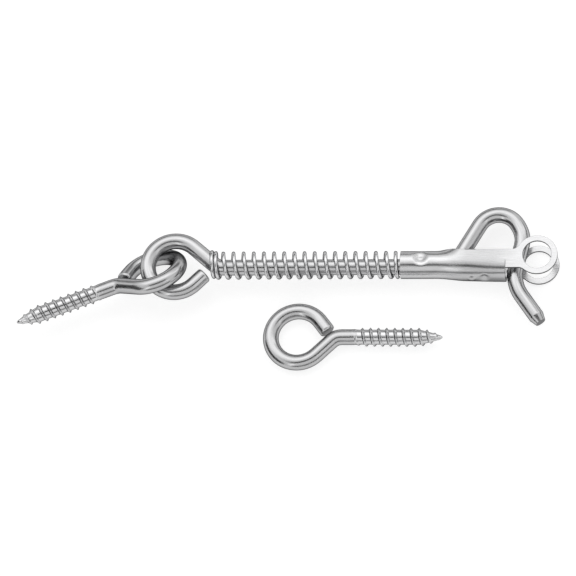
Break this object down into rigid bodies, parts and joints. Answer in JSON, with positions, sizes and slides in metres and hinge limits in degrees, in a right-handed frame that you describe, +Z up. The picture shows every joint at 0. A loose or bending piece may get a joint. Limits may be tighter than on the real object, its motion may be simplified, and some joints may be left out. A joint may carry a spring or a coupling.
{
  "type": "hook and eye latch",
  "caption": "Gate hook of bent wire, linked to a screw eye, with a spring-loaded sleeve that shuts the hook's mouth, and a loose screw eye that it catches.",
  "frame": {"origin": "on the table under the middle of the whole, as the latch lies", "axes": "+X along the rod towards the hook, +Y the way the hook's bow points, +Z up"},
  "size_m": [0.2296, 0.0704, 0.0217],
  "materials": {
    "bent_wire": "bright drawn steel wire, polished, with faint draw lines",
    "spring_wire": "bright spring wire",
    "folded_sheet": "pale stainless sheet, finely brushed along its length"
  },
  "bodies": {
    "eyes": {"pivot_screw_eye": "bent_wire", "catch_screw_eye": "bent_wire"},
    "hook": {"hook_rod": "bent_wire", "spring": "spring_wire"},
    "slider": {"sleeve": "folded_sheet"}
  },
  "joints": [
    {"name": "hook_swing", "type": "hinge", "parent": "eyes", "child": "hook", "pos_m": [-0.04788, 0.00917, 0.01127], "axis": [0.028, 0, 0.9996], "range_deg": [-8, 120]},
    {"name": "sleeve_slide", "type": "slide", "parent": "hook", "child": "slider", "axis": [0.9996, 0, -0.028], "range_m": [-0.036, 0], "stiffness_N_per_m": 900, "springref_m": 0.005, "deforming": ["spring"]}
  ]
}
